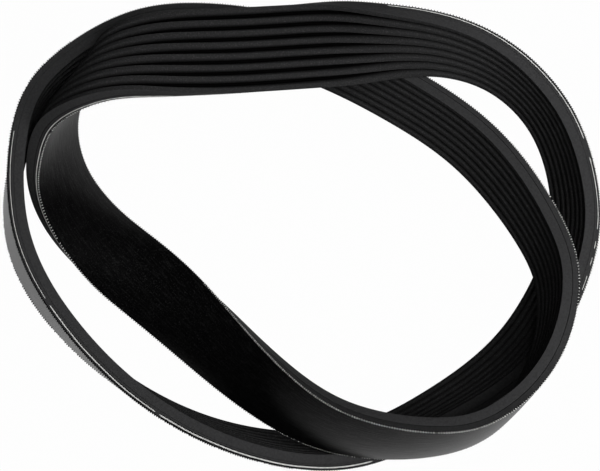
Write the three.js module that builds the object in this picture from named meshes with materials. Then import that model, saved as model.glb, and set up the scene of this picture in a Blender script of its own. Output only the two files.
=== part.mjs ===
import * as THREE from "three";

// A closed multi-rib drive belt, lying loose on a flat surface the way it was put down: one loop
// turned over on itself into a coil of two laps. Millimetres, +Z up, +X right, +Y away.
// The origin is on the surface, under the middle of the coil's outline seen from above.

// The belt's section: ribs that run along the belt, on a smooth back that holds the cords.
const RIB_COUNT = 8;
const RIB_PITCH = 3.56; // from the middle of one rib to the next
const CREST_WIDTH = 1.42; // flat top of a rib
const ROOT_WIDTH = 0.43; // flat bottom of a groove
const GROOVE_ANGLE = 40; // degrees between the two flanks of a groove
const BACKING = 2.95; // rubber between the grooves and the back
const CORD_DEPTH = 0.95; // from the back to the cords, the layer that keeps its length
const SIDE_MARGIN = 0.25; // from the last rib's crest to the cut side
const BACK_CHAMFER = 0.35; // worn corner between the back and a side

const FLANK_REACH = (RIB_PITCH - CREST_WIDTH - ROOT_WIDTH) / 2; // how far a flank goes sideways
const RIB_HEIGHT = FLANK_REACH / Math.tan(THREE.MathUtils.degToRad(GROOVE_ANGLE / 2));
const BELT_WIDTH = RIB_PITCH * (RIB_COUNT - 1) + CREST_WIDTH + 2 * SIDE_MARGIN;
const CREST_LEVEL = BACKING - CORD_DEPTH + RIB_HEIGHT; // levels are measured from the cords
const ROOT_LEVEL = BACKING - CORD_DEPTH;
const BACK_LEVEL = -CORD_DEPTH;

// The way the belt lies. Each row is one place along it, in the order the belt is followed:
//   x, y    where the middle of the belt's width is, seen from above
//   under   free height under the belt, in belt widths: 0 is on the surface, 1 on top of one lap
//   lean    degrees the ribs have turned: 0 they face the inside of the coil, 90 up, 180 outward,
//           270 down; the belt comes round with one full turn less than it set out with
//   bow     degrees the belt is cupped across its width, where it bends and twists together
const ROUTE = [
  [7, 61.6, 1.18, 443, 0], // the wide ribbed run on top, over the first lap
  [25, 63.5, 1, 406, 10],
  [46, 64, 0.88, 391, 18],
  [68.7, 56.8, 0.52, 378, 17],
  [86.5, 39.5, 0.28, 375, 12], // down the right-hand end, on its edge
  [94, 16, 0.12, 376, 10],
  [94.5, -5, 0.03, 378, 15],
  [78, -41.5, 0, 386, 25],
  [46.8, -61.3, 0, 374, 25],
  [17, -76.7, 0, 375, 20], // under the second lap
  [-21.7, -72, 0.07, 363, 12],
  [-53.7, -56.2, 0.18, 354, 5],
  [-80.2, -31.3, 0.3, 345, 0],
  [-98.6, 0, 0.42, 341, 0], // the left-hand end, arched clear of the surface
  [-93.4, 42.1, 0.3, 358, 0],
  [-79.7, 56.9, 0.1, 369, 0],
  [-58, 69.4, 0, 376, 0],
  [-37, 72.3, 0, 381, 0],
  [3, 65.5, 0, 392, 0], // under the wide ribbed run
  [35.5, 48.5, 0, 389, 8],
  [62, 31, 0.14, 389, 4],
  [82.5, 0, 0.53, 380, 6],
  [86, -18, 0.93, 369, 10], // climbing on top of the first lap
  [80.6, -40.8, 1.06, 360, 10],
  [66, -59, 1.09, 346, 10],
  [48, -67.7, 1.1, 338, 15],
  [10, -66, 0.99, 324, 30], // over the first lap, smooth back turning up
  [-16.2, -48.7, 0.52, 310, 42],
  [-33, -33, 0.2, 297, 46],
  [-52.1, -15.1, 0.05, 272, 72],
  [-64.9, -2.4, 0, 238, 54],
  [-76.3, 11, 0, 225, 26],
  [-81.6, 26.2, 0, 205, 14], // bent back on itself at the left
  [-79.3, 41.6, 0.4, 184, -22],
  [-66, 52.2, 1.16, 144, -30],
  [-47, 57.7, 1.3, 105, -10],
  [-22, 59, 1.24, 86, -4],
];
const FULL_TURN = -360; // degrees the lean has changed once the belt has come round
const RING_COUNT = 156; // sections along the belt
const BACK_STRIPS = 5; // strips across the smooth back

// The outline of the section, counter-clockwise seen against the way the belt is followed:
// across the back, then over the ribs one by one from the far side to the near side.
function sectionOutline() {
  const half = BELT_WIDTH / 2;
  const crest = CREST_WIDTH / 2;
  const root = ROOT_WIDTH / 2;
  const points = [[-half, BACK_LEVEL + BACK_CHAMFER]];
  for (let k = 0; k <= BACK_STRIPS; k++) {
    points.push([(half - BACK_CHAMFER) * ((2 * k) / BACK_STRIPS - 1), BACK_LEVEL]);
  }
  points.push([half, BACK_LEVEL + BACK_CHAMFER]);
  for (let rib = RIB_COUNT - 1; rib >= 0; rib--) {
    const middle = (rib - (RIB_COUNT - 1) / 2) * RIB_PITCH;
    const nearSide = rib === RIB_COUNT - 1;
    const farSide = rib === 0;
    points.push([nearSide ? half : middle + crest, CREST_LEVEL]);
    points.push([farSide ? -half : middle - crest, CREST_LEVEL]);
    if (!farSide) {
      points.push([middle - RIB_PITCH / 2 + root, ROOT_LEVEL]);
      points.push([middle - RIB_PITCH / 2 - root, ROOT_LEVEL]);
    }
  }
  return points;
}

// Where a point of the section lies beside the middle of the belt: how far toward the inside of the
// coil and how far up, with the section cupped by its bow and turned by its lean.
function besideMiddle([across, level], lean, bow) {
  const turn = THREE.MathUtils.degToRad(lean);
  const cup = THREE.MathUtils.degToRad(bow) / BELT_WIDTH;
  const angle = cup * across;
  const spread = cup === 0 ? across : Math.sin(angle) / cup;
  const lift = cup === 0 ? 0 : (1 - Math.cos(angle)) / cup;
  const w = spread - level * Math.sin(angle);
  const n = lift + level * Math.cos(angle);
  return {
    inward: n * Math.cos(turn) - w * Math.sin(turn),
    up: n * Math.sin(turn) + w * Math.cos(turn),
  };
}

// A place of the route with its height worked out from what is under it, carried on round the loop.
function stationAt(index, outline) {
  const laps = Math.floor(index / ROUTE.length);
  const [x, y, under, lean, bow] = ROUTE[index - laps * ROUTE.length];
  const reachBelow = -Math.min(...outline.map((point) => besideMiddle(point, lean, bow).up));
  return [x, y, under * BELT_WIDTH + reachBelow, lean + laps * FULL_TURN, bow];
}

// Smooth cubic curve through the loop, drawn toward the stations rather than exactly onto them.
function along(position, outline) {
  const first = Math.floor(position);
  const t = position - first;
  const s = 1 - t;
  const weight = [s ** 3, 3 * t ** 3 - 6 * t ** 2 + 4, 3 * s ** 3 - 6 * s ** 2 + 4, t ** 3];
  const slope = [-(s ** 2), 3 * t ** 2 - 4 * t, -3 * s ** 2 + 4 * s, t ** 2];
  const value = [0, 0, 0, 0, 0];
  const change = [0, 0, 0, 0, 0];
  for (let k = 0; k < 4; k++) {
    stationAt(first - 1 + k, outline).forEach((v, i) => {
      value[i] += (v * weight[k]) / 6;
      change[i] += (v * slope[k]) / 2;
    });
  }
  return { value, change };
}

// One section's points in space.
function ringAt(position, outline) {
  const { value, change } = along(position, outline);
  const [x, y, z, lean, bow] = value;
  const travel = new THREE.Vector3(change[0], change[1], change[2]).normalize();
  const inward = travel.clone().cross(new THREE.Vector3(0, 0, 1)).normalize();
  const upward = inward.clone().cross(travel);
  return outline.map((point) => {
    const beside = besideMiddle(point, lean, bow);
    return new THREE.Vector3(x, y, z)
      .addScaledVector(inward, beside.inward)
      .addScaledVector(upward, beside.up);
  });
}

function beltGeometry() {
  const outline = sectionOutline();
  const rings = [];
  for (let k = 0; k < RING_COUNT; k++) {
    rings.push(ringAt((k * ROUTE.length) / RING_COUNT, outline));
  }
  const points = rings.flat();
  const box = new THREE.Box3().setFromPoints(points);
  const origin = box.getCenter(new THREE.Vector3()).setZ(box.min.z);
  const positions = points.flatMap((point) => point.sub(origin).toArray());
  const index = [];
  for (let k = 0; k < RING_COUNT; k++) {
    const next = (k + 1) % RING_COUNT;
    for (let j = 0; j < outline.length; j++) {
      const side = (j + 1) % outline.length;
      const a = k * outline.length + j;
      const b = k * outline.length + side;
      const c = next * outline.length + side;
      const d = next * outline.length + j;
      index.push(a, b, c, a, c, d);
    }
  }
  const geometry = new THREE.BufferGeometry();
  geometry.setAttribute("position", new THREE.Float32BufferAttribute(positions, 3));
  geometry.setIndex(index);
  geometry.computeVertexNormals();
  return geometry;
}

const rubber = new THREE.MeshStandardMaterial({ color: 0x1b1b1c, roughness: 0.8, metalness: 0 });
const belt = new THREE.Mesh(beltGeometry(), rubber);
belt.name = "serpentine_belt";

const part = new THREE.Group();
part.name = "serpentine_belt_part";
part.add(belt);

export default part;
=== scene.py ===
import math

import bpy
import numpy as np
from mathutils import Matrix, Vector


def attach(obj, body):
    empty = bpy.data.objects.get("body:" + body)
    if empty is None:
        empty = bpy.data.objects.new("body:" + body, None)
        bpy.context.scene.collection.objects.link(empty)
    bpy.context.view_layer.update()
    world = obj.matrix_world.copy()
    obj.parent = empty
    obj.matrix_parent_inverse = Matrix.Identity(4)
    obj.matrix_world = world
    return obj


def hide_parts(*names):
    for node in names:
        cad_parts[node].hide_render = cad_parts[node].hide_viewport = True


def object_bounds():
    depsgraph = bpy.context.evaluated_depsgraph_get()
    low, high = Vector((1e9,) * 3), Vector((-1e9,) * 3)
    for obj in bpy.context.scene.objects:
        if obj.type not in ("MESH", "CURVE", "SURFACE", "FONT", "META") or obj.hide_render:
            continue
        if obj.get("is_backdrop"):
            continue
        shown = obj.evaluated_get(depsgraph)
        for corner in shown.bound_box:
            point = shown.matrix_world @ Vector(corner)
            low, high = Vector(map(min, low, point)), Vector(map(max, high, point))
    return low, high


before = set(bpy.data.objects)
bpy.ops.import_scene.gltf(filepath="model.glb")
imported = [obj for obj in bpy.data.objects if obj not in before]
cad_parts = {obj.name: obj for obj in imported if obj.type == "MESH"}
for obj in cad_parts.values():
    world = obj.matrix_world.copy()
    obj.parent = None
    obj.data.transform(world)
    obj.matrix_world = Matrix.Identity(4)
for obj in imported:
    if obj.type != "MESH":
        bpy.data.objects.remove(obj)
cad_low, cad_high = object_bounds()

# The belt: one closed band of black moulded rubber, ground into eight lengthwise ribs on one face
# and backed with fabric on the other. It lies loose, turned over on itself into a coil of two laps,
# so it is made by carrying its section along its way. Metres throughout.
RIB_COUNT = 8
RIB_PITCH = 0.00356
CREST_WIDTH = 0.00142  # flat top of a rib
ROOT_WIDTH = 0.00043  # flat bottom of a groove
GROOVE_ANGLE = math.radians(40)
BACKING = 0.00295  # rubber between the grooves and the back
CORD_DEPTH = 0.00095  # from the back to the cords
SIDE_MARGIN = 0.00025
BACK_CHAMFER = 0.00035
BACK_STRIPS = 12
CREST_ROUNDING = 0.00022
ROOT_ROUNDING = 0.00012
ROUNDING_PARTS = 3
SEAM_LEVEL = 0.00117  # fine line along the cut side, above the cords
SEAM_HALF = 0.00012

RIB_HEIGHT = (RIB_PITCH - CREST_WIDTH - ROOT_WIDTH) / 2 / math.tan(GROOVE_ANGLE / 2)
WIDTH = RIB_PITCH * (RIB_COUNT - 1) + CREST_WIDTH + 2 * SIDE_MARGIN
HALF = WIDTH / 2
CREST_LEVEL = BACKING - CORD_DEPTH + RIB_HEIGHT  # levels are measured from the cords
ROOT_LEVEL = BACKING - CORD_DEPTH
BACK_LEVEL = -CORD_DEPTH

# Each row is one place along the belt: x and y of the middle of its width, the free height under it
# in belt widths, the degrees its ribs have turned, and the degrees it is cupped across its width.
WAY = [
    (0.0070, 0.0616, 1.18, 443, 0),
    (0.0250, 0.0635, 1.00, 406, 10),
    (0.0460, 0.0640, 0.88, 391, 18),
    (0.0687, 0.0568, 0.52, 378, 17),
    (0.0865, 0.0395, 0.28, 375, 12),
    (0.0940, 0.0160, 0.12, 376, 10),
    (0.0945, -0.0050, 0.03, 378, 15),
    (0.0780, -0.0415, 0.00, 386, 25),
    (0.0468, -0.0613, 0.00, 374, 25),
    (0.0170, -0.0767, 0.00, 375, 20),
    (-0.0217, -0.0720, 0.07, 363, 12),
    (-0.0537, -0.0562, 0.18, 354, 5),
    (-0.0802, -0.0313, 0.30, 345, 0),
    (-0.0986, 0.0000, 0.42, 341, 0),
    (-0.0934, 0.0421, 0.30, 358, 0),
    (-0.0797, 0.0569, 0.10, 369, 0),
    (-0.0580, 0.0694, 0.00, 376, 0),
    (-0.0370, 0.0723, 0.00, 381, 0),
    (0.0030, 0.0655, 0.00, 392, 0),
    (0.0355, 0.0485, 0.00, 389, 8),
    (0.0620, 0.0310, 0.14, 389, 4),
    (0.0825, 0.0000, 0.53, 380, 6),
    (0.0860, -0.0180, 0.93, 369, 10),
    (0.0806, -0.0408, 1.06, 360, 10),
    (0.0660, -0.0590, 1.09, 346, 10),
    (0.0480, -0.0677, 1.10, 338, 15),
    (0.0100, -0.0660, 0.99, 324, 30),
    (-0.0162, -0.0487, 0.52, 310, 42),
    (-0.0330, -0.0330, 0.20, 297, 46),
    (-0.0521, -0.0151, 0.05, 272, 72),
    (-0.0649, -0.0024, 0.00, 238, 54),
    (-0.0763, 0.0110, 0.00, 225, 26),
    (-0.0816, 0.0262, 0.00, 205, 14),
    (-0.0793, 0.0416, 0.40, 184, -22),
    (-0.0660, 0.0522, 1.16, 144, -30),
    (-0.0470, 0.0577, 1.30, 105, -10),
    (-0.0220, 0.0590, 1.24, 86, -4),
]
PLACES = len(WAY)
FULL_TURN = -360  # degrees the ribs have turned once the belt has come round
STEPS = 16  # sections from one place to the next
NO_CUP = 1e-9  # keeps a flat section from a division by nothing


def rounded_corner(at, before, after, radius):
    """Points of a rounded corner of the section's outline, from the line before to the line after."""
    at, before, after = (np.array(point, float) for point in (at, before, after))
    start = at + (before - at) / np.linalg.norm(before - at) * radius
    end = at + (after - at) / np.linalg.norm(after - at) * radius
    t = np.linspace(0, 1, ROUNDING_PARTS + 1)[:, None]
    return list((1 - t) ** 2 * start + 2 * t * (1 - t) * at + t**2 * end)


def section_corners():
    """Sharp corners of the outline with the rounding of each, back first, then rib by rib."""
    crest = CREST_WIDTH / 2
    root = ROOT_WIDTH / 2
    seam = [(0, SEAM_LEVEL - SEAM_HALF), (-SEAM_HALF, SEAM_LEVEL), (0, SEAM_LEVEL + SEAM_HALF)]
    corners = [((-HALF, BACK_LEVEL + BACK_CHAMFER), 0)]
    for strip in range(BACK_STRIPS + 1):
        across = (HALF - BACK_CHAMFER) * (2 * strip / BACK_STRIPS - 1)
        corners.append(((across, BACK_LEVEL), 0))
    corners.append(((HALF, BACK_LEVEL + BACK_CHAMFER), 0))
    for out, level in seam:
        corners.append(((HALF + out, level), 0))
    for rib in reversed(range(RIB_COUNT)):
        middle = (rib - (RIB_COUNT - 1) / 2) * RIB_PITCH
        right = HALF if rib == RIB_COUNT - 1 else middle + crest
        left = -HALF if rib == 0 else middle - crest
        corners.append(((right, CREST_LEVEL), CREST_ROUNDING))
        corners.append(((left, CREST_LEVEL), CREST_ROUNDING))
        if rib:
            corners.append(((middle - RIB_PITCH / 2 + root, ROOT_LEVEL), ROOT_ROUNDING))
            corners.append(((middle - RIB_PITCH / 2 - root, ROOT_LEVEL), ROOT_ROUNDING))
    for out, level in reversed(seam):
        corners.append(((-HALF - out, level), 0))
    return corners


def section_outline():
    """The belt's outline as across and level, with its rib corners rounded."""
    corners = section_corners()
    points = []
    for k, (at, radius) in enumerate(corners):
        before, after = corners[k - 1][0], corners[(k + 1) % len(corners)][0]
        points += rounded_corner(at, before, after, radius) if radius else [np.array(at)]
    return np.array(points)


def corner_heights(lean, bow):
    """How far the section's corners reach up from the cords, leaning and cupped as it is there."""
    points = np.array([at for at, rounding in section_corners()])
    cup = bow / WIDTH + NO_CUP
    angle = cup * points[:, 0]
    sideways = np.sin(angle) / cup - points[:, 1] * np.sin(angle)
    ribward = (1 - np.cos(angle)) / cup + points[:, 1] * np.cos(angle)
    return ribward * math.sin(lean) + sideways * math.cos(lean)


def station(index):
    """A place of the way with its height worked out from what is under it, carried on round."""
    lap, row = divmod(index, PLACES)
    x, y, under, lean, bow = WAY[row]
    lean, bow = math.radians(lean), math.radians(bow)
    height = under * WIDTH - corner_heights(lean, bow).min()
    return [x, y, height, lean + lap * math.radians(FULL_TURN), bow]


STATIONS = np.array([station(i) for i in range(-1, PLACES + 3)])


def way_points(start, end, steps):
    """The belt's way between two places: the cords' middle, the ways across and to the ribs."""
    at = np.linspace(start, end, round((end - start) * steps) + 1)
    first = np.minimum(np.floor(at).astype(int), PLACES)
    t = (at - first)[:, None]
    s = 1 - t
    weights = [s**3, 3 * t**3 - 6 * t**2 + 4, 3 * s**3 - 6 * s**2 + 4, t**3]
    slopes = [-(s**2), 3 * t**2 - 4 * t, -3 * s**2 + 4 * s, t**2]
    value = sum(w * STATIONS[first + k] for k, w in enumerate(weights)) / 6
    change = sum(w * STATIONS[first + k] for k, w in enumerate(slopes)) / 2
    travel = change[:, :3] / np.linalg.norm(change[:, :3], axis=1)[:, None]
    inward = np.cross(travel, (0, 0, 1))
    inward /= np.linalg.norm(inward, axis=1)[:, None]
    upward = np.cross(inward, travel)
    middle, lean, bow = value[:, :3], value[:, 3:4], value[:, 4:5]
    gone = np.cumsum(np.linalg.norm(np.diff(middle, axis=0), axis=1))
    return {
        "middle": middle,
        "across_way": np.cos(lean) * upward - np.sin(lean) * inward,
        "rib_way": np.cos(lean) * inward + np.sin(lean) * upward,
        "cup": bow[:, 0] / WIDTH,
        "along": np.concatenate([[0], gone]),
    }


def line_object(name, points, closed, attributes):
    """A mesh of one chain of edges, carrying named values at its points."""
    count = len(points)
    edges = [(i, i + 1) for i in range(count - 1)] + ([(count - 1, 0)] if closed else [])
    mesh = bpy.data.meshes.new(name)
    mesh.from_pydata([tuple(point) for point in points], edges, [])
    for key, values in attributes.items():
        vector = np.ndim(values) == 2
        data = mesh.attributes.new(key, "FLOAT_VECTOR" if vector else "FLOAT", "POINT").data
        field = "vector" if vector else "value"
        data.foreach_set(field, np.asarray(values, np.float32).ravel())
    line = bpy.data.objects.new(name, mesh)
    bpy.context.collection.objects.link(line)
    return line


def way_object(name, start, end, steps, lift=None, sink=None):
    """The stretch of the belt's way from start to end, shifted toward the ribs and sideways."""
    way = way_points(start, end, steps)
    if lift is not None:
        shift = way["rib_way"] * lift[:, None] + way["across_way"] * sink[:, None]
        way["middle"] = way["middle"] + shift
    return line_object(name, way["middle"], False, way)


def section_object(name, points):
    flat = np.column_stack([points, np.zeros(len(points))])
    return line_object(name, flat, True, {"across": points[:, 0], "level": points[:, 1]})


class Tree:
    """A node tree under construction: adds a node, sets its plain inputs and links the others."""

    def __init__(self, tree):
        self.tree = tree

    def link(self, output, target):
        self.tree.links.new(output, target)

    def node(self, kind, inputs=(), **settings):
        made = self.tree.nodes.new(kind)
        for key, value in settings.items():
            setattr(made, key, value)
        for key, value in dict(inputs).items():
            if isinstance(value, bpy.types.NodeSocket):
                self.link(value, made.inputs[key])
            else:
                made.inputs[key].default_value = value
        return made

    def math(self, operation, *values):
        return self.node("ShaderNodeMath", enumerate(values), operation=operation).outputs[0]

    def vector(self, operation, first, second):
        slot = "Scale" if operation == "SCALE" else 1
        return self.node("ShaderNodeVectorMath", {0: first, slot: second}, operation=operation).outputs[0]

    def carried_value(self, key, kind="FLOAT"):
        """A value that the way or the section carries at its points."""
        made = self.node("GeometryNodeInputNamedAttribute", {"Name": key}, data_type=kind)
        return made.outputs["Attribute"]


def new_tree(name, sockets):
    """An empty Geometry Nodes tree with a geometry in, a geometry out and the named inputs."""
    tree = bpy.data.node_groups.new(name, "GeometryNodeTree")
    tree.interface.new_socket("Geometry", in_out="INPUT", socket_type="NodeSocketGeometry")
    for socket_name, kind in sockets:
        tree.interface.new_socket(socket_name, in_out="INPUT", socket_type="NodeSocket" + kind)
    tree.interface.new_socket("Geometry", in_out="OUTPUT", socket_type="NodeSocketGeometry")
    made = Tree(tree)
    given = made.node("NodeGroupInput").outputs
    result = made.node("NodeGroupOutput").inputs[0]
    return made, given, result


SLIGHT_CUP = 1e-3  # per metre, keeps a flat section from a division by nothing in the trees


def place_in_section(tree, across, level):
    """Where a point of the section lies, from the values that the way carries at its points."""
    cup = tree.math("ADD", tree.carried_value("cup"), SLIGHT_CUP)
    angle = tree.math("MULTIPLY", cup, across)
    sine, cosine = tree.math("SINE", angle), tree.math("COSINE", angle)
    w = tree.math("SUBTRACT", tree.math("DIVIDE", sine, cup), tree.math("MULTIPLY", level, sine))
    lift = tree.math("DIVIDE", tree.math("SUBTRACT", 1.0, cosine), cup)
    n = tree.math("ADD", lift, tree.math("MULTIPLY", level, cosine))
    sideways = tree.vector("SCALE", tree.carried_value("across_way", "FLOAT_VECTOR"), w)
    ribward = tree.vector("SCALE", tree.carried_value("rib_way", "FLOAT_VECTOR"), n)
    middle = tree.carried_value("middle", "FLOAT_VECTOR")
    return tree.vector("ADD", middle, tree.vector("ADD", sideways, ribward))


def sweep_tree():
    """Carries a section along a stretch of the belt's way."""
    tree, given, result = new_tree("Section along the way", [
        ("Section", "Object"), ("Closed ends", "Bool"), ("Weld distance", "Float"),
        ("Back level", "Float"), ("Side reach", "Float"),
        ("Rib material", "Material"), ("Side material", "Material"), ("Back material", "Material")])
    way = tree.node("GeometryNodeMeshToCurve", {"Mesh": given["Geometry"]}).outputs[0]
    section = tree.node("GeometryNodeObjectInfo", {"Object": given["Section"]}).outputs["Geometry"]
    outline = tree.node("GeometryNodeMeshToCurve", {"Mesh": section}).outputs[0]
    swept = tree.node("GeometryNodeCurveToMesh", {
        "Curve": way, "Profile Curve": outline, "Fill Caps": given["Closed ends"]}).outputs[0]
    across, level = tree.carried_value("across"), tree.carried_value("level")
    placed = tree.node("GeometryNodeSetPosition", {
        "Geometry": swept, "Position": place_in_section(tree, across, level)}).outputs[0]
    flat = tree.node("ShaderNodeCombineXYZ", {
        "X": tree.carried_value("along"), "Y": tree.math("ADD", across, level)}).outputs[0]
    mapped = tree.node("GeometryNodeStoreNamedAttribute", {
        "Geometry": placed, "Name": "UVMap", "Value": flat},
        data_type="FLOAT2", domain="CORNER").outputs[0]
    welded = tree.node("GeometryNodeMergeByDistance", {
        "Geometry": mapped, "Distance": given["Weld distance"]}).outputs[0]
    ribs = tree.node("GeometryNodeSetMaterial", {
        "Geometry": welded, "Material": given["Rib material"]}).outputs[0]
    on_back = tree.math("LESS_THAN", level, given["Back level"])
    back = tree.node("GeometryNodeSetMaterial", {
        "Geometry": ribs, "Selection": on_back, "Material": given["Back material"]}).outputs[0]
    on_side = tree.math("GREATER_THAN", tree.math("ABSOLUTE", across), given["Side reach"])
    side = tree.node("GeometryNodeSetMaterial", {
        "Geometry": back, "Selection": on_side, "Material": given["Side material"]}).outputs[0]
    real = tree.node("GeometryNodeRealizeInstances", {"Geometry": side}).outputs[0]
    tree.link(real, result)
    return tree.tree


def grown(start, tree, values, name):
    """The plain mesh object that a tree makes from a start object, which is then cleared away."""
    modifier = start.modifiers.new(name, "NODES")
    modifier.node_group = tree
    for item in tree.interface.items_tree:
        if item.in_out == "INPUT" and item.name in values:
            modifier[item.identifier] = values[item.name]
    start.update_tag()
    evaluated = start.evaluated_get(bpy.context.evaluated_depsgraph_get())
    mesh = bpy.data.meshes.new_from_object(evaluated)
    mesh.name = name
    bpy.data.objects.remove(start)
    for value in values.values():
        if isinstance(value, bpy.types.Object):
            bpy.data.objects.remove(value)
    return bpy.data.objects.new(name, mesh)


def facing_out(mesh):
    """Turns a closed mesh's faces round where its volume comes out negative."""
    points = np.empty(len(mesh.vertices) * 3, np.float32)
    mesh.vertices.foreach_get("co", points)
    points = points.reshape(-1, 3).astype(float)
    mesh.calc_loop_triangles()
    corners = np.empty(len(mesh.loop_triangles) * 3, np.int32)
    mesh.loop_triangles.foreach_get("vertices", corners)
    a, b, c = points[corners.reshape(-1, 3)].transpose(1, 0, 2)
    if (np.cross(a, b) * c).sum() < 0:
        mesh.flip_normals()


# The ground ribs: near-black rubber with chopped fibre in it, which the grinding wheel leaves as a
# fine matt speckle. Deep in the grooves the colour is darkened as painted shade.
RIB_COLOUR = (0.027, 0.027, 0.0275)
RIB_FLECK = (0.058, 0.058, 0.059)
# painted shade at the roots of the grooves, where the flanks shade each other
GROOVE_PAINTED_SHADE = (0.0020, 0.0020, 0.0020)
RIB_ROUGHNESS = 0.65
RIB_SHINE = 0.0
FLECK_SCALE = 2600.0
FLECK_FROM, FLECK_FULL = 0.52, 0.75  # values of the noise at which a fleck begins and is full
PAINTED_SHADE_FROM = CREST_LEVEL - 0.0004  # level at which the painted shade starts on a flank
# level below which the painted shade is full
PAINTED_SHADE_FULL = ROOT_LEVEL + 0.0005
GRIT_STRENGTH = 0.35
GRIT_HEIGHT = 0.00008


class Look(Tree):
    """A material's tree, with the patterns that the belt's rubber and cloth are made of."""

    def level(self):
        return self.node("ShaderNodeAttribute", attribute_name="level").outputs["Fac"]

    def place(self):
        return self.node("ShaderNodeTexCoord").outputs["Object"]

    def laid(self):
        """Along the belt and across it, as it would lie unrolled."""
        return self.node("ShaderNodeUVMap", uv_map="UVMap").outputs[0]

    def noise(self, at, scale, detail):
        return self.node("ShaderNodeTexNoise", {
            "Vector": at, "Scale": scale, "Detail": detail}).outputs["Fac"]

    def fade(self, value, start, end, low=0.0, high=1.0):
        """From low to high as the value goes from start to end, and level beyond them."""
        return self.node("ShaderNodeMapRange", {
            "Value": value, 1: start, 2: end, 3: low, 4: high}).outputs[0]

    def mix(self, part, first, second):
        colours = [c if isinstance(c, bpy.types.NodeSocket) else (*c, 1) for c in (first, second)]
        return self.node("ShaderNodeMix", {0: part, 6: colours[0], 7: colours[1]},
                         data_type="RGBA").outputs[2]

    def bump(self, height, strength, distance):
        return self.node("ShaderNodeBump", {
            "Height": height, "Strength": strength, "Distance": distance}).outputs[0]


def new_material(name, colour, roughness, specular):
    """A material with its shader's plain values set, as a tree to add its pattern to."""
    material = bpy.data.materials.new(name)
    material.use_nodes = True
    shader = material.node_tree.nodes["Principled BSDF"].inputs
    shader["Base Color"].default_value = (*colour, 1)
    shader["Roughness"].default_value = roughness
    shader["Specular IOR Level"].default_value = specular
    return material, Look(material.node_tree), shader


def ground_rib_rubber():
    material, look, shader = new_material("rib_rubber", RIB_COLOUR, RIB_ROUGHNESS, RIB_SHINE)
    fleck = look.noise(look.place(), FLECK_SCALE, 2.0)
    flecked = look.mix(look.fade(fleck, FLECK_FROM, FLECK_FULL), RIB_COLOUR, RIB_FLECK)
    # painted shade: the flanks darken from near the crest down to the groove roots
    groove_shade_part = look.fade(look.level(), PAINTED_SHADE_FROM, PAINTED_SHADE_FULL)
    look.link(look.mix(groove_shade_part, flecked, GROOVE_PAINTED_SHADE), shader["Base Color"])
    look.link(look.bump(fleck, GRIT_STRENGTH, GRIT_HEIGHT), shader["Normal"])
    return material


# The cut sides: the same rubber where the sleeve was slit into belts, so it shows rough and greyer,
# darker along one stretch in the cord layer between the fine seam line and the back. The seam line
# is faint on the first lap and clear on the second.
SIDE_COLOUR = (0.041, 0.041, 0.042)
CORD_LAYER_COLOUR = (0.024, 0.024, 0.0245)
SEAM_COLOUR = (0.013, 0.013, 0.013)
SIDE_ROUGHNESS = 0.8
SIDE_SHINE = 0.15
DARK_STRETCH = (22.5, 24.0, 27.0, 28.0)  # places where the dark starts, is full, fades and ends
DARK_ELSEWHERE = 0.15  # share of that dark on the rest of the side
CORD_LAYER_EDGE = 0.0001
SEAM_CLEARS = (17, 20)  # places between which the seam line becomes clear
SEAM_FAINT = 0.2
SAW_SCALE = 1500.0
SAW_CONTRAST = 0.9
SAW_BASE = 0.55
SAW_STRENGTH = 0.3
SAW_HEIGHT = 0.0001


def length_at(place):
    """How far along the belt a place of its way is."""
    return way_points(0, PLACES, STEPS)["along"][round(place * STEPS)]


def cut_side_rubber():
    material, look, shader = new_material("side_rubber", SIDE_COLOUR, SIDE_ROUGHNESS, SIDE_SHINE)
    level = look.level()
    along = look.node("ShaderNodeSeparateXYZ", {0: look.laid()}).outputs["X"]
    starts, full, fading, ends = (length_at(place) for place in DARK_STRETCH)
    rising = look.fade(along, starts, full, DARK_ELSEWHERE, 1.0)
    falling = look.fade(along, fading, ends, 1.0, DARK_ELSEWHERE)
    in_cord_layer = look.math("MULTIPLY", look.fade(level, SEAM_LEVEL, SEAM_LEVEL - CORD_LAYER_EDGE),
                              look.math("MINIMUM", rising, falling))
    colour = look.mix(in_cord_layer, SIDE_COLOUR, CORD_LAYER_COLOUR)
    off_seam = look.math("ABSOLUTE", look.math("SUBTRACT", level, SEAM_LEVEL))
    on_seam = look.math("LESS_THAN", off_seam, SEAM_HALF)
    clears, clear = (length_at(place) for place in SEAM_CLEARS)
    seam_part = look.math("MULTIPLY", on_seam, look.fade(along, clears, clear, SEAM_FAINT, 1.0))
    colour = look.mix(seam_part, colour, SEAM_COLOUR)
    saw = look.noise(look.place(), SAW_SCALE, 3.0)
    unevenness = look.math("ADD", look.math("MULTIPLY", saw, SAW_CONTRAST), SAW_BASE)
    uneven = look.node("ShaderNodeHueSaturation", {"Color": colour, "Value": unevenness}).outputs[0]
    look.link(uneven, shader["Base Color"])
    look.link(look.bump(saw, SAW_STRENGTH, SAW_HEIGHT), shader["Normal"])
    return material


# The back: a thin rubbered fabric, smooth and a little glossy, with a fine grain along the belt and
# specks of lint.
BACK_COLOUR = (0.0020, 0.0020, 0.0021)
BACK_GRAIN = (0.0075, 0.0075, 0.0077)
LINT_COLOUR = (0.020, 0.020, 0.020)
BACK_ROUGHNESS = 0.36
BACK_SHINE = 0.08
GRAIN_ALONG = 160.0
GRAIN_ACROSS = 1900.0
GRAIN_FROM, GRAIN_FULL = 0.5, 0.75
SHEEN_GRAIN = (0.35, 0.7)  # values of the grain between which the sheen goes from low to high
SHEEN_LOW, SHEEN_HIGH = 0.065, 0.105
LINT_SCALE = 2800.0
LINT_FROM, LINT_FULL = 0.60, 0.72
CLOTH_STRENGTH = 0.35
CLOTH_HEIGHT = 0.00012


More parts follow.
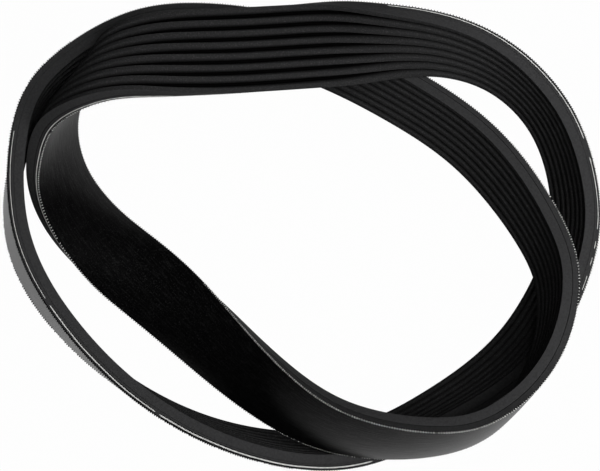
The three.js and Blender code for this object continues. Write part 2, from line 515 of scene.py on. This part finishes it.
def rubbered_back_fabric():
    material, look, shader = new_material("back_fabric", BACK_COLOUR, BACK_ROUGHNESS, BACK_SHINE)
    stretched = look.node("ShaderNodeMapping", {
        "Vector": look.laid(), "Scale": (GRAIN_ALONG, GRAIN_ACROSS, 1)}).outputs[0]
    grain = look.noise(stretched, 1.0, 3.0)
    look.link(look.fade(grain, *SHEEN_GRAIN, SHEEN_LOW, SHEEN_HIGH), shader["Specular IOR Level"])
    grained = look.mix(look.fade(grain, GRAIN_FROM, GRAIN_FULL), BACK_COLOUR, BACK_GRAIN)
    lint = look.noise(look.place(), LINT_SCALE, 1.0)
    colour = look.mix(look.fade(lint, LINT_FROM, LINT_FULL), grained, LINT_COLOUR)
    look.link(colour, shader["Base Color"])
    look.link(look.bump(grain, CLOTH_STRENGTH, CLOTH_HEIGHT), shader["Normal"])
    return material


# The band itself: its section is carried all the way round and welded where it meets itself. The
# back fabric reaches a little way up each worn corner, and the cut sides take the rest.
SWEEP = sweep_tree()
WELD = 0.000002
BACK_REACH = 0.6  # share of a worn corner's height that belongs to the back
SHARP_ANGLE = math.radians(30)


def carried(name, way, outline, closed_ends, weld, rib_material, side_material, back_material):
    """The piece that an outline makes when it is carried along a stretch of the way."""
    return grown(way, SWEEP, {
        "Section": section_object(name + "_section", outline), "Closed ends": closed_ends,
        "Weld distance": weld, "Back level": BACK_LEVEL + BACK_CHAMFER * BACK_REACH,
        "Side reach": HALF - SEAM_HALF, "Rib material": rib_material,
        "Side material": side_material, "Back material": back_material}, name)


belt = carried("serpentine_belt_surface", way_object("belt_way", 0, PLACES, STEPS), section_outline(),
               False, WELD, ground_rib_rubber(), cut_side_rubber(), rubbered_back_fabric())
bpy.context.collection.objects.link(belt)
facing_out(belt.data)
belt.data.set_sharp_from_angle(angle=SHARP_ANGLE)
points = np.array([vertex.co for vertex in belt.data.vertices])
made_low, made_high = points.min(0), points.max(0)
seat = Vector((
    (cad_low[0] + cad_high[0] - made_low[0] - made_high[0]) / 2,
    (cad_low[1] + cad_high[1] - made_low[1] - made_high[1]) / 2,
    cad_low[2] - made_low[2],
))
belt.data.transform(Matrix.Translation(seat))
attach(belt, "root")
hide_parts("serpentine_belt")

# The bared cords: the polyester cords are wound round the belt at a slight slant, so the slitting
# knife lays one open along a stretch of the cut side. It shows as a pale line in a dark bed.
CORD_SIDES = 10
CORD_STEPS = 24  # sections from one place to the next
CORD_STANDS_OUT = 0.00010
BED_MARGIN = 0.00018  # bed beside the cord
BED_DEPTH = 0.00010
BED_STANDS_OUT = 0.00001
CORD_COLOUR = (0.80, 0.80, 0.78)
BED_COLOUR = (0.008, 0.008, 0.008)
CORD_ROUGHNESS = 0.75
BED_ROUGHNESS = 0.8
DRY_SHINE = 0.3
TWIST_ALONG, TWIST_ACROSS = 900, 2500
TWIST_FROM, TWIST_FULL = 0.3, 0.7
TWIST_DARK, TWIST_LIGHT = 0.6, 1.1
END_RUN = 0.06  # share of a stretch over which the cord comes out of the rubber
END_SINK = 0.0006
KNOTS_A_PLACE = 5  # points between which the cord wanders
FEWEST_KNOTS = 4
WANDER_SEED = 7
UPPER, LOWER = 1, -1  # the cut side that looks up in the first lap, and the other one
BARED = [  # from place to place along the way, which side, how far the cord wanders, its radius
    (1.0, 4.4, UPPER, 0.00002, 0.00022),
    (4.5, 5.6, UPPER, 0.00004, 0.00016),
    (5.68, 5.84, UPPER, 0.00004, 0.00014),
    (5.88, 6.04, UPPER, 0.0, 0.00012),
    (6.08, 6.3, UPPER, 0.00005, 0.00013),
    (6.4, 6.52, UPPER, 0.00002, 0.00012),
    (6.62, 6.9, UPPER, 0.00004, 0.00013),
    (8.7, 10.9, UPPER, 0.00010, 0.00036),
    (10.8, 12.3, UPPER, 0.00009, 0.00027),
    (12.25, 13.9, UPPER, 0.00005, 0.00013),
    (29.2, 35.4, LOWER, 0.00003, 0.00022),
]


def add_piece(piece, smooth):
    """Seats a piece on the belt and gives it to the frame."""
    bpy.context.collection.objects.link(piece)
    piece.data.transform(Matrix.Translation(seat))
    facing_out(piece.data)
    if smooth:
        piece.data.shade_smooth()
    else:
        piece.data.shade_flat()
    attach(piece, "root")


def twisted_cord_yarn():
    material, look, shader = new_material("cord_yarn", CORD_COLOUR, CORD_ROUGHNESS, DRY_SHINE)
    stretched = look.node("ShaderNodeMapping", {
        "Vector": look.laid(), "Scale": (TWIST_ALONG, TWIST_ACROSS, 1)}).outputs[0]
    twist = look.noise(stretched, 1.0, 2.0)
    shade = look.fade(twist, TWIST_FROM, TWIST_FULL, TWIST_DARK, TWIST_LIGHT)
    colour = look.node("ShaderNodeHueSaturation", {"Color": (*CORD_COLOUR, 1), "Value": shade})
    look.link(colour.outputs[0], shader["Base Color"])
    return material


def cord_outline(side, radius):
    turns = np.linspace(0, 2 * math.pi, CORD_SIDES, endpoint=False)
    middle = side * (HALF + CORD_STANDS_OUT - radius)
    return np.column_stack([middle + radius * np.cos(turns), radius * np.sin(turns)])


def bed_outline(side, radius):
    inner, outer = side * (HALF - BED_DEPTH), side * (HALF + BED_STANDS_OUT)
    half = radius + BED_MARGIN
    return np.array([(inner, -half), (outer, -half), (outer, half), (inner, half)])


cord_yarn = twisted_cord_yarn()
bed_rubber = new_material("bed_rubber", BED_COLOUR, BED_ROUGHNESS, DRY_SHINE)[0]
wander = np.random.default_rng(WANDER_SEED)
for number, (start, end, side, reach, radius) in enumerate(BARED, 1):
    share = np.linspace(0, 1, round((end - start) * CORD_STEPS) + 1)
    knots = wander.uniform(-reach, reach, max(FEWEST_KNOTS, int((end - start) * KNOTS_A_PLACE)))
    lift = np.interp(share * (len(knots) - 1), np.arange(len(knots)), knots)
    from_end = np.minimum(share, 1 - share)
    sink = -side * np.clip(1 - from_end / END_RUN, 0, 1) ** 2 * END_SINK
    for name, outline, material, smooth in (
        (f"bared_cord_{number}", cord_outline(side, radius), cord_yarn, True),
        (f"cord_bed_{number}", bed_outline(side, radius), bed_rubber, False),
    ):
        way = way_object("cord_way", start, end, CORD_STEPS, lift, sink)
        add_piece(carried(name, way, outline, True, 0.0, material, material, material), smooth)

# The thread ends: the knife leaves the cut ends of the back fabric's threads standing as a fine
# fringe of teeth along both back corners. Along some stretches they are bare and pale, or longer.
THREAD_SPACING = 0.00082
THREAD_LENGTH = 0.00034
THREAD_THICKNESS = 0.00016
THREAD_PROUD = 0.00027
THREAD_SIZES = (0.8, 1.15)  # smallest and largest end, as shares of the plain one
THREAD_INWARD = 0.45  # where an end stands on the worn corner, as shares of the corner
THREAD_UP = 0.15
DARK_END = (0.010, 0.010, 0.0103)
PALE_END = (0.80, 0.80, 0.78)
DARK_END_ROUGHNESS = 0.9
PALE_END_ROUGHNESS = 0.8
THREAD_ROWS = [  # from place to place, which side, what material, share that stands, size
    (0, PLACES, UPPER, "dark", 1.0, 0.9),
    (0, PLACES, LOWER, "dark", 1.0, 0.9),
    (9.5, 15.2, UPPER, "dark", 0.9, 1.5),
    (9.5, 15.2, LOWER, "dark", 0.9, 1.5),
    (20.2, 28.4, UPPER, "pale", 0.985, 1.2),
    (25.3, 27.2, LOWER, "pale", 0.8, 0.85),
    (29.0, 34.2, LOWER, "pale", 0.95, 1.05),
    (4.0, 6.9, UPPER, "pale", 0.985, 1.2),
]


def thread_tree():
    """Sets thread ends in a row along one corner of the section."""
    tree, given, result = new_tree("Thread ends", [
        ("Across", "Float"), ("Level", "Float"), ("Spacing", "Float"), ("Length", "Float"),
        ("Thickness", "Float"), ("Proud", "Float"), ("Smallest", "Float"), ("Largest", "Float"),
        ("Share kept", "Float"), ("Seed", "Int"), ("Thread material", "Material")])
    way = tree.node("GeometryNodeMeshToCurve", {"Mesh": given["Geometry"]}).outputs[0]
    spaced = tree.node("GeometryNodeResampleCurve", {
        "Curve": way, "Length": given["Spacing"]}, mode="LENGTH").outputs[0]
    placed = tree.node("GeometryNodeSetPosition", {
        "Geometry": spaced, "Position": place_in_section(tree, given["Across"], given["Level"])})
    sideways = tree.node("FunctionNodeAlignRotationToVector", {
        "Vector": tree.carried_value("across_way", "FLOAT_VECTOR")}, axis="X").outputs[0]
    turned = tree.node("FunctionNodeAlignRotationToVector", {
        "Rotation": sideways, "Vector": tree.carried_value("rib_way", "FLOAT_VECTOR")},
        axis="Z", pivot_axis="X").outputs[0]
    kept = tree.node("FunctionNodeRandomValue", {
        "Probability": given["Share kept"], "Seed": given["Seed"]}, data_type="BOOLEAN")
    size = tree.node("FunctionNodeRandomValue", {
        2: given["Smallest"], 3: given["Largest"], "Seed": given["Seed"]},
        data_type="FLOAT").outputs[1]
    shape = tree.node("ShaderNodeCombineXYZ", {
        "X": tree.math("MULTIPLY", size, given["Length"]), "Y": given["Thickness"],
        "Z": tree.math("MULTIPLY", size, given["Proud"])}).outputs[0]
    end = tree.node("GeometryNodeMeshIcoSphere", {"Radius": 1.0, "Subdivisions": 1}).outputs[0]
    row = tree.node("GeometryNodeInstanceOnPoints", {
        "Points": placed.outputs[0], "Selection": kept.outputs[3], "Instance": end,
        "Rotation": turned, "Scale": shape}).outputs[0]
    real = tree.node("GeometryNodeRealizeInstances", {"Geometry": row}).outputs[0]
    painted = tree.node("GeometryNodeSetMaterial", {
        "Geometry": real, "Material": given["Thread material"]}).outputs[0]
    tree.link(painted, result)
    return tree.tree


THREADS = thread_tree()
thread_materials = {
    "dark": new_material("dark_thread", DARK_END, DARK_END_ROUGHNESS, 0.0)[0],
    "pale": new_material("pale_thread", PALE_END, PALE_END_ROUGHNESS, DRY_SHINE)[0],
}
for number, (start, end, side, shade, share, size) in enumerate(THREAD_ROWS, 1):
    add_piece(grown(way_object("thread_way", start, end, STEPS), THREADS, {
        "Across": side * (HALF - BACK_CHAMFER * THREAD_INWARD),
        "Level": BACK_LEVEL + BACK_CHAMFER * THREAD_UP,
        "Spacing": THREAD_SPACING, "Length": THREAD_LENGTH * size,
        "Thickness": THREAD_THICKNESS * size, "Proud": THREAD_PROUD * size,
        "Smallest": THREAD_SIZES[0], "Largest": THREAD_SIZES[1], "Share kept": share,
        "Seed": number, "Thread material": thread_materials[shade]}, f"thread_ends_{number}"), True)

# The setting: a white floor that keeps a faint shadow, a dim even room, and three soft panels, to
# the right, overhead and in front. The backs are bright where they reflect the floor.
FLOOR_HALF = 3.0
FLOOR_DROP = 0.0006  # leaves room for the thread ends under the belt
FLOOR_COLOUR = (0.25, 0.25, 0.25)
FLOOR_ROUGHNESS = 0.9
SHADOW_KEPT = 0.015
HORIZON, ZENITH = 0.02, 0.04
HORIZON_ENDS, ZENITH_STARTS = 0.25, 0.8  # heights on the room's sphere, whose radius is 1

floor_mesh = bpy.data.meshes.new("floor")
floor_mesh.from_pydata([(x * FLOOR_HALF, y * FLOOR_HALF, -FLOOR_DROP)
                        for x, y in ((-1, -1), (1, -1), (1, 1), (-1, 1))], [], [(0, 1, 2, 3)])
floor = bpy.data.objects.new("floor", floor_mesh)
bpy.context.collection.objects.link(floor)
floor_white, look = new_material("floor_white", FLOOR_COLOUR, FLOOR_ROUGHNESS, 0.0)[:2]
rays = look.node("ShaderNodeLightPath").outputs
seen = look.math("MAXIMUM", rays["Is Camera Ray"], rays["Is Glossy Ray"])
seen = look.math("MAXIMUM", seen, rays["Is Transmission Ray"])
white = look.node("ShaderNodeEmission", {"Color": (1, 1, 1, 1), "Strength": 1.0}).outputs[0]
lit = look.tree.nodes["Principled BSDF"].outputs[0]
shown = look.node("ShaderNodeMixShader", {
    0: look.math("MULTIPLY", seen, 1 - SHADOW_KEPT), 1: lit, 2: white}).outputs[0]
look.link(shown, look.tree.nodes["Material Output"].inputs["Surface"])
floor_mesh.materials.append(floor_white)
floor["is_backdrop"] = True

world = bpy.data.worlds.new("room")
bpy.context.scene.world = world
world.use_nodes = True
room = Tree(world.node_tree)
background = world.node_tree.nodes["Background"].inputs
height = room.node("ShaderNodeSeparateXYZ", {
    0: room.node("ShaderNodeTexCoord").outputs["Generated"]}).outputs["Z"]
strength = room.node("ShaderNodeMapRange", {
    "Value": height, 1: HORIZON_ENDS, 2: ZENITH_STARTS, 3: HORIZON, 4: ZENITH},
    interpolation_type="SMOOTHSTEP").outputs[0]
room.link(strength, background["Strength"])
background["Color"].default_value = (1, 1, 1, 1)

PANELS = [  # name, degrees round from +X, degrees above the floor, distance, size, power
    ("right_panel", 355, 57, 0.5, 0.3, 1.4),
    ("overhead_panel", 0, 83, 1.2, 0.5, 4.0),
    ("front_panel", 285, 40, 1.2, 0.8, 1.0),
]
for name, azimuth, elevation, distance, size, power in PANELS:
    lamp = bpy.data.lights.new(name, "AREA")
    lamp.size, lamp.energy = size, power
    panel = bpy.data.objects.new(name, lamp)
    turn, rise = math.radians(azimuth), math.radians(elevation)
    toward = Vector((math.cos(turn) * math.cos(rise), math.sin(turn) * math.cos(rise), math.sin(rise)))
    panel.matrix_world = toward.to_track_quat("Z", "Y").to_matrix().to_4x4()
    panel.location = toward * distance
    panel.visible_glossy = False  # the light is soft and leaves no hot spots
    bpy.context.collection.objects.link(panel)

# The camera looks straight down on the coil from about half a metre.
CAMERA_HEIGHT = 0.5588
CAMERA_AT = (0.00082, 0.00024)  # the point of the floor right under the camera
LENS = 97.8
SENSOR = 36.0
eye = bpy.data.cameras.new("camera")
eye.lens, eye.sensor_width = LENS, SENSOR
camera = bpy.data.objects.new("camera", eye)
camera.location = (*CAMERA_AT, CAMERA_HEIGHT)
bpy.context.collection.objects.link(camera)
bpy.context.scene.camera = camera
bpy.context.scene.view_settings.view_transform = "Standard"

made_low, made_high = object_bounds()
